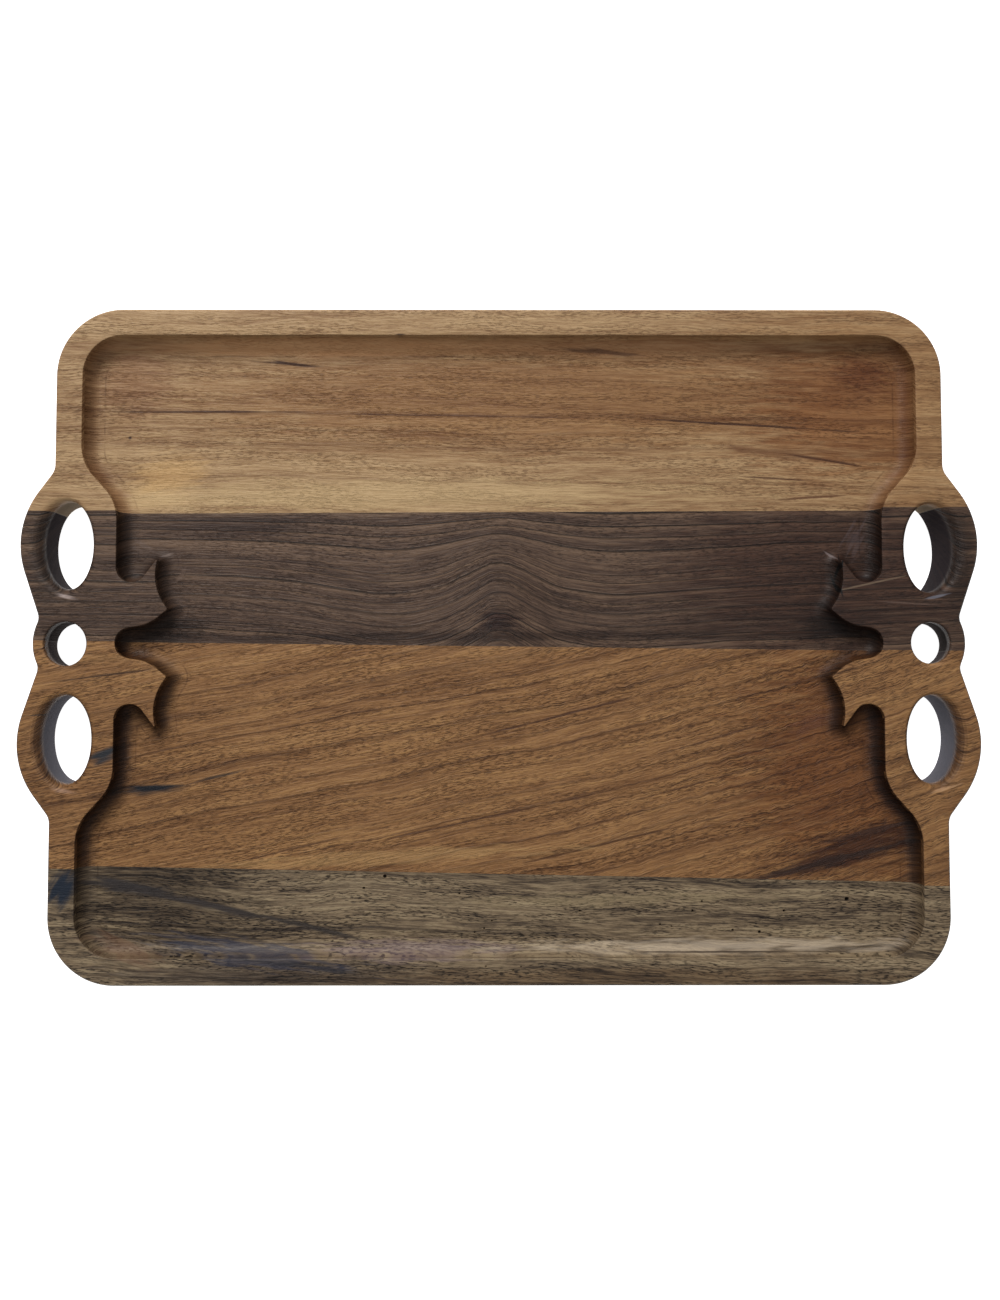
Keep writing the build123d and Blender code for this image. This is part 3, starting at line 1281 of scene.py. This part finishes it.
PALE_WOOD = WoodFinish(
    name="pale honey wood",
    dark=dye(112, 76, 46), middle=dye(158, 127, 91), pale=dye(186, 156, 116),
    line=dye(92, 60, 36), pore=dye(132, 104, 78),
    lean=-0.8, wander=2.2, ring_spacing=12.0, ring_tone=0.12, line_amount=0.32, fibre_tone=0.26,
    band_tone=0.2, pore_amount=0.5, wall_shade=0.45, end_oil=0.35, oil_and_shade=dye(158, 112, 82),
    hole_wall_shade=dye(112, 100, 84), seed=3.0,
    stains_and_light=(
        # painted shade: the back board darker towards the back wall and towards its right-hand end, on floor
        # and rim
        shade(dye(212, 190, 168), 10, 130, 260, 42, 0, 0.9, 0.25),
        shade(dye(204, 172, 146), 200, 128, 100, 60, 0, 0.9, 0.3),
        shade(dye(222, 200, 176), 190, 120, 130, 90, 0, 0.6, 0.3, Level.RIM),
        shade(dye(206, 168, 138), 120, 154, 130, 6, -1, 0.3, 0.5),
        # painted light: warm pale strips over the back cove, lifting its shade
        StainOrLight(dye(198, 146, 100), -90, 158.5, 150, 6.5, 0, 0.6, 0.2),
        StainOrLight(dye(186, 134, 92), 60, 158.5, 120, 6, 0, 0.4, 0.2),
        # painted shade in the back left-hand corner of the floor
        shade(dye(222, 204, 200), -196, 140, 30, 26, 0, 0.7, 0.4),
        StainOrLight(dye(212, 178, 128), -184, 78, 28, 8, 0, 0.4, 0.4),
        # painted shade in the back right-hand corner of the floor
        shade(dye(172, 130, 112), 196, 143, 22, 14, -20, 0.6, 0.5),
        StainOrLight(dye(190, 162, 118), -60, 79, 220, 12, 0.4, 0.5, 0.4),
        StainOrLight(dye(196, 156, 102), -176, 90, 26, 12, 10, 0.5, 0.4),
        StainOrLight(dye(66, 40, 24), -158, 123.9, 68, 0.85, 0, 1.0, 0.3),
        StainOrLight(dye(84, 54, 34), -30, 122.0, 100, 0.75, -1.0, 0.9, 0.45),
        StainOrLight(dye(66, 40, 24), 130, 117.0, 88, 0.85, -3.6, 1.0, 0.4),
        StainOrLight(dye(60, 36, 22), -114, 149.8, 22, 1.4, -6, 1.0, 0.6),
        StainOrLight(dye(92, 62, 44), 56, 156.0, 26, 2.4, -6, 0.8, 0.7),
        StainOrLight(dye(98, 64, 40), 160, 100.0, 56, 3.2, -9, 0.6, 0.8),
        StainOrLight(dye(72, 44, 28), 176, 97.5, 28, 0.8, -10, 0.9, 0.7),
        StainOrLight(dye(72, 44, 28), 148, 88.0, 22, 0.6, -4, 0.8, 0.7),
        StainOrLight(dye(88, 54, 34), 168, 78.0, 20, 1.0, 3, 0.8, 0.7),
        StainOrLight(dye(50, 30, 20), -196.8, 109.8, 1.5, 1.1, 0, 1.0, 0.2, Level.BOTH),
        StainOrLight(dye(70, 50, 36), -52.2, 162.3, 4.0, 0.6, 0, 0.9, 0.4, Level.BOTH),
    ),
)
DARK_WOOD = WavyFinish(
    name="dark walnut",
    dark=dye(40, 28, 24), middle=dye(74, 56, 45), pale=dye(106, 84, 67),
    line=dye(24, 16, 14), pore=dye(108, 96, 92),
    lean=0.0, wander=1.2, climb=0.5, ring_spacing=5.8, ring_tone=-0.95, line_amount=1.0, fibre_tone=0.30,
    edge_highlight=0.55, band_tone=0.16, pore_amount=0.6, wall_shade=0.7, end_oil=0.5, hole_wall_shade=dye(32, 26, 30),
    seed=11.0,
    wave=(
        (-200, 1), (-150, 0), (-110, -2.5), (-80, -7), (-57, -9.5), (-38, -7.5), (-20, -1.5), (-8, 5), (0, 8),
        (8, 5.5), (20, -1), (40, -8), (64, -10.5), (90, -9), (130, -6), (200, -3.5),
    ),
    stains_and_light=(
        shade(dye(186, 166, 164), 170, 36, 120, 60, 0, 0.95, 0.3, Level.BOTH),
        shade(dye(128, 112, 108), 0, 4.0, 230, 4.0, 0.3, 0.7, 0.35, Level.BOTH),
        shade(dye(132, 110, 118), 0, 13, 15, 8, 0, 0.9, 0.6),
        shade(dye(150, 136, 142), -140, 62, 60, 7, 0, 0.6, 0.5),
        # painted shade in the hollows between the middle prongs at both ends
        shade(dye(112, 98, 94), -178, 8, 30, 9, 0, 0.85, 0.3),
        shade(dye(112, 98, 94), 178, 8, 30, 9, 0, 0.85, 0.3),
        # painted highlights: torn fibres at the left-hand back prong catching the light
        StainOrLight(dye(140, 122, 112), -176, 46.5, 5, 0.9, 20, 0.6, 0.9, Level.BOTH),
        StainOrLight(dye(136, 118, 108), -188, 36.5, 6, 0.8, -6, 0.55, 0.9),
        StainOrLight(dye(104, 88, 80), -190, 52, 9, 3.0, -30, 0.4, 0.9),
        StainOrLight(dye(104, 84, 72), -168, 36, 5, 2.2, 60, 0.4, 0.9),
        # painted highlight: torn fibres at the right-hand back prong catching the light
        StainOrLight(dye(132, 118, 116), 176.0, 46.4, 4.0, 0.9, -35, 0.55, 1.0, Level.BOTH),
        StainOrLight(dye(98, 86, 88), 190, 57, 10, 7.0, 60, 0.26, 1.0),
        StainOrLight(dye(112, 94, 76), 196, 31.5, 26, 0.6, 12, 0.7, 0.5, Level.RIM),
        StainOrLight(dye(98, 78, 68), 214, 20.5, 18, 0.6, -4, 0.6, 0.5, Level.RIM),
        # painted shade: the black gaps of the torn crack at the right-hand back prong
        StainOrLight(dye(14, 10, 10), 178.6, 40, 6.5, 0.8, 78, 1.0, 0.8, Level.BOTH),
        StainOrLight(dye(14, 10, 10), 177.4, 30, 6.5, 0.9, 104, 1.0, 0.8, Level.BOTH),
        StainOrLight(dye(34, 24, 22), -207, 18.5, 24, 0.45, 2, 0.9, 0.4, Level.RIM),
        StainOrLight(dye(34, 24, 22), -204, 27.5, 26, 0.45, 6, 0.8, 0.5, Level.RIM),
        # painted shade round the outer ends of the back handle holes
        shade(dye(150, 154, 160), -236, 45, 12, 40, 0, 0.5, 0.4, Level.RIM),
        shade(dye(150, 148, 150), 240, 45, 12, 40, 0, 0.8, 0.4, Level.RIM),
        # painted highlights: light crescents on the rounded edges at the front ends of the back handle holes
        StainOrLight(dye(176, 158, 152), -225.5, 23.8, 8, 1.3, -12, 0.6, 0.5, Level.RIM),
        StainOrLight(dye(118, 120, 132), 228, 24.0, 6, 1.2, 12, 0.45, 0.8, Level.RIM),
    ),
)
BROWN_WOOD = RisingFinish(
    name="golden brown walnut",
    dark=dye(74, 42, 20), middle=dye(134, 96, 59), pale=dye(166, 126, 80),
    line=dye(50, 30, 18), pore=dye(98, 74, 56),
    lean=11.0, wander=2.6, ring_spacing=9.0, ring_tone=0.14, line_amount=0.45, fibre_tone=0.27,
    band_tone=0.16, pore_amount=0.62, wall_shade=0.95, end_oil=0.75, oil_and_shade=dye(122, 108, 108), relief=0.16,
    seed=23.0,
    stains_and_light=(
        shade(dye(196, 168, 146), 190, -60, 90, 90, 0, 0.85, 0.3),
        StainOrLight(dye(24, 26, 32), -184, -76.6, 24, 3.2, 4, 1.0, 0.4),
        StainOrLight(dye(40, 36, 36), -150, -70.5, 20, 1.2, 13, 0.8, 0.5),
        StainOrLight(dye(40, 42, 46), -204, -58, 12, 4.2, 24, 1.0, 0.4, Level.RIM),
        StainOrLight(dye(56, 48, 42), -232, -37, 24, 0.8, 3, 0.9, 0.3, Level.RIM),
        StainOrLight(dye(62, 42, 28), -206, -17, 40, 0.9, 7, 0.9, 0.35, Level.RIM),
        StainOrLight(dye(150, 112, 70), -206, -8, 30, 3.0, 4, 0.5, 0.6, Level.RIM),
        # painted highlights: light crescents on the rounded edges at the front ends of the front handle holes
        # and the right-hand round hole
        StainOrLight(dye(160, 126, 104), -226, -76.8, 10, 1.4, -8, 0.55, 0.6, Level.RIM),
        StainOrLight(dye(178, 140, 104), 231, -75.4, 9, 1.6, 16, 0.55, 0.6, Level.RIM),
        StainOrLight(dye(168, 126, 86), 227, -11.6, 7, 1.4, 10, 0.55, 0.6, Level.RIM),
        shade(dye(138, 118, 120), 194, -106, 62, 13, 14, 0.95, 0.5),
        StainOrLight(dye(44, 28, 22), 180, -112.5, 66, 3.4, 12, 0.95, 0.6),
        StainOrLight(dye(56, 36, 28), 204, -96.5, 40, 2.4, 12, 0.8, 0.6),
        StainOrLight(dye(58, 38, 28), 140, -123, 40, 1.4, 10, 0.8, 0.6),
        StainOrLight(dye(70, 44, 28), 60, -104, 85, 0.9, 13, 0.8, 0.6),
        StainOrLight(dye(70, 44, 28), -10, -92, 95, 0.8, 12, 0.8, 0.6),
        StainOrLight(dye(66, 40, 26), 40, -36, 84, 0.9, 14, 0.85, 0.5),
        StainOrLight(dye(72, 46, 30), 120, -48, 50, 0.8, 16, 0.7, 0.6),
        StainOrLight(dye(72, 46, 30), 110, -72, 60, 0.7, 15, 0.7, 0.6),
        StainOrLight(dye(74, 48, 30), -110, -108, 60, 0.8, 13, 0.7, 0.6),
        StainOrLight(dye(176, 140, 92), -60, -112, 130, 5, 3, 0.4, 0.5),
        StainOrLight(dye(86, 50, 38), 170, -40, 18, 6, 8, 0.45, 0.9),
    ),
)
GREY_WOOD = WoodFinish(
    name="grey-brown walnut",
    dark=dye(58, 47, 38), middle=dye(122, 104, 81), pale=dye(152, 134, 106),
    line=dye(50, 40, 32), pore=dye(52, 44, 38),
    lean=-1.5, wander=3.4, ring_spacing=9.0, ring_tone=0.2, line_amount=0.4, fibre_tone=0.44, band_tone=0.26,
    pore_amount=0.9, wall_shade=0.25, end_oil=0.25, seed=37.0,
    stains_and_light=(
        shade(dye(158, 154, 154), -180, -132, 70, 36, -12, 0.85, 0.5, Level.BOTH),
        shade(dye(206, 194, 184), 60, -172, 220, 7.5, 0, 0.95, 0.3, Level.RIM),
        shade(dye(170, 168, 178), -120, -170, 130, 9, 0, 0.9, 0.4, Level.RIM),
        StainOrLight(dye(46, 42, 42), -196, -127, 36, 4.2, -9, 0.95, 0.35),
        StainOrLight(dye(50, 44, 42), -152, -137, 58, 2.8, -13, 0.95, 0.4),
        StainOrLight(dye(52, 46, 42), -100, -148, 44, 2.0, -14, 0.9, 0.4),
        StainOrLight(dye(48, 50, 64), -130, -160.5, 64, 6.5, -7, 0.75, 0.8, Level.BOTH),
        StainOrLight(dye(44, 42, 46), -100, -166, 40, 2.0, -8, 0.8, 0.6, Level.BOTH),
        StainOrLight(dye(26, 34, 46), -225, -126, 13, 9, 60, 1.0, 0.35, Level.RIM),
        StainOrLight(dye(112, 82, 62), -196, -158, 26, 5, -20, 0.5, 0.6, Level.BOTH),
        StainOrLight(dye(112, 94, 98), -45, -159, 64, 6, 0, 0.5, 0.6, Level.BOTH),
        # painted highlight along the lit cove of the front wall
        StainOrLight(dye(200, 182, 158), 115, -158, 135, 5.0, 0.4, 0.45, 0.6),
        StainOrLight(dye(150, 132, 100), 60, -134, 110, 4, 1, 0.4, 0.7),
        StainOrLight(dye(50, 38, 30), 110, -143, 60, 1.6, 1, 0.5, 0.9),
        StainOrLight(dye(60, 48, 38), 120, -160.5, 100, 0.5, 0, 0.9, 0.3, Level.BOTH),
    ),
)
GLUE = PlainFinish("dried glue", dye(48, 36, 28), dye(60, 46, 34), 0.6)


# ---- Boards, glue and stage ----


@dataclass(frozen=True)
class Joint:
    """A glue joint: its Y at the tray's middle, in millimetres, and its rise in Y per unit of X."""

    middle_y: float
    rise: float

    def cut(self, skin: bmesh.types.BMesh, shift: float, keep_back: bool) -> None:
        """Cut a closed mesh at this joint and close it again with a flat face.

        Args:
            skin: the mesh, changed in place.
            shift: how far the cut lies behind the joint, in millimetres.
            keep_back: True to keep what is behind the cut.
        """
        across = Vector((-self.rise, 1, 0)).normalized()
        point = Vector((0, self.middle_y * MM, 0)) + across * shift * MM
        found = bmesh.ops.bisect_plane(
            skin, geom=[*skin.verts, *skin.edges, *skin.faces], dist=1e-7, plane_co=point, plane_no=across,
            clear_inner=keep_back, clear_outer=not keep_back,
        )
        edges = [piece for piece in found["geom_cut"] if isinstance(piece, bmesh.types.BMEdge)]
        bmesh.ops.triangle_fill(skin, edges=edges, use_beauty=True, normal=-across if keep_back else across)


def shown(name: str, data: bpy.types.ID) -> bpy.types.Object:
    """Make an object of a mesh, lamp or camera and put it in the scene.

    Args:
        name: the object's name.
        data: what it shows.

    Returns:
        The new object.
    """
    made = bpy.data.objects.new(name, data)
    bpy.context.scene.collection.objects.link(made)
    return made


BACK_JOINT = Joint(70.0, 0.0043)
MIDDLE_JOINT = Joint(-1.3, -0.0114)
FRONT_JOINT = Joint(-120.8, -0.0200)
GLUE_THICKNESS = 0.15
SHARP_ANGLE = 40  # degrees between faces that meet in a crisp edge


@dataclass(frozen=True)
class Slice:
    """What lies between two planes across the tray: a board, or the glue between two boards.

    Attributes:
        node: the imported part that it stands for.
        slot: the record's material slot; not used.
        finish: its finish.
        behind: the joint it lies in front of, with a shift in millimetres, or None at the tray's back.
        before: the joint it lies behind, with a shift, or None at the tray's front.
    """

    node: str
    slot: str
    finish: WoodFinish | PlainFinish
    behind: tuple[Joint, float] | None
    before: tuple[Joint, float] | None

    def build(self, skin: bmesh.types.BMesh, kit: GrainKit, recess: Points) -> bpy.types.Object:
        """Cut the piece out of the skin and dress it.

        Args:
            skin: the whole tray's closed mesh, left as it is.
            kit: the shared wood effects.
            recess: outline of the recess wall, rows of x and y in metres.

        Returns:
            The finished piece, riding on the tray's body.
        """
        piece = skin.copy()
        if self.behind:
            self.behind[0].cut(piece, self.behind[1], keep_back=False)
        if self.before:
            self.before[0].cut(piece, self.before[1], keep_back=True)
        bmesh.ops.recalc_face_normals(piece, faces=piece.faces)
        open_edges = sum(1 for edge in piece.edges if not edge.is_manifold)
        data = bpy.data.meshes.new(f"{self.node}_carved")
        piece.to_mesh(data)
        piece.free()
        data.shade_smooth()
        data.set_sharp_from_angle(angle=radians(SHARP_ANGLE))
        data.materials.append(self.finish.material(kit))
        mark_reach(data, recess)
        made = shown(data.name, data)
        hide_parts(self.node)
        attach(made, "root")
        LOG.info("%s: %d faces, %d open edges", made.name, len(data.polygons), open_edges)
        return made


def mark_reach(data: bpy.types.Mesh, recess: Points) -> None:
    """Store how far each vertex lies from the recess wall, in metres, as the attribute "reach".

    It is the distance to the nearest side of the wall's outline, positive inside the recess and negative
    outside it.

    Args:
        data: the mesh to mark.
        recess: the wall's outline, rows of x and y in metres.
    """
    place = np.empty(len(data.vertices) * 3)
    data.vertices.foreach_get("co", place)
    plan = place.reshape(-1, 3)[:, :2]
    start, side = recess, np.roll(recess, -1, axis=0) - recess
    length = (side**2).sum(axis=1)
    reach = np.empty(len(plan))
    for rows in batches(len(plan)):
        gap = plan[rows, None, :] - start[None]
        share = np.clip((gap * side).sum(axis=2) / length, 0, 1)
        reach[rows] = np.sqrt((((gap - share[..., None] * side) ** 2).sum(axis=2)).min(axis=1))
    reach *= np.where(inside(plan, [recess]), 1, -1)
    data.attributes.new("reach", "FLOAT", "POINT").data.foreach_set("value", reach)


@dataclass(frozen=True)
class Tray:
    """The whole tray: one carved skin parted into boards and glue films."""

    skin: TraySkin

    def build(self) -> list[bpy.types.Object]:
        """Carve the skin, then cut every board and glue film out of it.

        Returns:
            The finished pieces.
        """
        self.skin.build()
        whole = self.skin.mesh()
        kit = GrainKit()
        half = GLUE_THICKNESS / 2
        slices = [
            Slice("back_board", "pale_wood", PALE_WOOD, None, (BACK_JOINT, half)),
            Slice("dark_board", "dark_wood", DARK_WOOD, (BACK_JOINT, -half), (MIDDLE_JOINT, half)),
            Slice("brown_board", "brown_wood", BROWN_WOOD, (MIDDLE_JOINT, -half), (FRONT_JOINT, half)),
            Slice("front_board", "grey_wood", GREY_WOOD, (FRONT_JOINT, -half), None),
            Slice("back_glue", "glue", GLUE, (BACK_JOINT, half), (BACK_JOINT, -half)),
            Slice("middle_glue", "glue", GLUE, (MIDDLE_JOINT, half), (MIDDLE_JOINT, -half)),
            Slice("front_glue", "glue", GLUE, (FRONT_JOINT, half), (FRONT_JOINT, -half)),
        ]
        recess = self.skin.recess_loop().points
        made = [piece.build(whole, kit, recess) for piece in slices]
        whole.free()
        return made


@dataclass(frozen=True)
class Studio:
    """A pale floor, soft light from behind and above, and a camera almost straight overhead."""

    floor_half: float = 60.0
    sky: float = 0.46
    key_power: float = 37.0
    key_size: float = 1.0
    key_place: tuple[float, float, float] = (-0.5, 1.45, 1.45)
    camera_height: float = 0.5487
    camera_place: tuple[float, float] = (-0.0011, -0.0258)
    camera_turn: tuple[float, float, float] = (2.40, -0.15, -0.02)
    lens: float = 28.13

    def build(self) -> None:
        """Set up floor, light and camera."""
        self.lay_floor()
        self.light_scene()
        self.aim_camera()

    def lay_floor(self) -> None:
        """Lay a square white floor under the tray."""
        side = self.floor_half
        data = bpy.data.meshes.new("floor")
        corners = [(-side, -side, 0), (side, -side, 0), (side, side, 0), (-side, side, 0)]
        data.from_pydata(corners, [], [(0, 1, 2, 3)])
        material = bpy.data.materials.new("white paper")
        material.use_nodes = True
        shader = material.node_tree.nodes["Principled BSDF"]
        looks = {
            "Base Color": (0.92, 0.92, 0.92, 1), "Roughness": 0.9, "Specular IOR Level": 0.1,
            "Emission Color": (1, 1, 1, 1), "Emission Strength": 0.95,
        }
        for name, value in looks.items():
            shader.inputs[name].default_value = value
        data.materials.append(material)
        shown("floor", data)

    def light_scene(self) -> None:
        """An even white sky, and one large soft lamp behind the tray to its left."""
        world = bpy.data.worlds.new("studio")
        world.use_nodes = True
        sky = world.node_tree.nodes["Background"].inputs
        sky["Color"].default_value, sky["Strength"].default_value = (1, 1, 1, 1), self.sky
        bpy.context.scene.world = world
        lamp = bpy.data.lights.new("key", "AREA")
        lamp.size, lamp.energy = self.key_size, self.key_power
        key = shown("key", lamp)
        key.location = self.key_place
        key.rotation_euler = (-Vector(self.key_place)).to_track_quat("-Z", "Y").to_euler()

    def aim_camera(self) -> None:
        """Hang the camera over the tray and make it the scene's."""
        data = bpy.data.cameras.new("camera")
        data.lens, data.sensor_width = self.lens, 36.0
        data.clip_start = 0.01
        camera = shown("camera", data)
        camera.location = (*self.camera_place, self.camera_height)
        camera.rotation_euler = [radians(angle) for angle in self.camera_turn]
        bpy.context.scene.camera = camera
        bpy.context.scene.view_settings.view_transform = "Standard"


# Insect holes: where each is, and its radius, in millimetres.
PIT_PLACES = (
    (-60, -122, 1.1), (-71, -128, 0.8), (-21, -131, 0.6), (-8, -149, 0.6), (-13, -151, 0.6), (-4, -145, 0.6),
    (42, -140, 0.7), (101, -140, 0.8), (84, -147, 0.7), (90, -148, 0.6), (122, -150, 0.8), (136, -151, 0.9),
    (149, -140, 0.8), (182, -134, 1.3), (106, -135, 0.6), (-32, -166, 0.6), (-7, -166, 0.6), (7, -168, 0.6),
    (11, -166, 0.5),
)
PIT_DEPTH = 1.6  # times the radius


def main() -> None:
    """Build the tray and the studio."""
    logging.basicConfig(level=logging.INFO, format="%(message)s")
    pits = tuple(Pit(x, y, radius, PIT_DEPTH * radius) for x, y, radius in PIT_PLACES)
    for piece in Tray(TraySkin(pits=pits)).build():
        LOG.info("%s rides on root", piece.name)
    Studio().build()


if __name__ == "__main__":
    main()
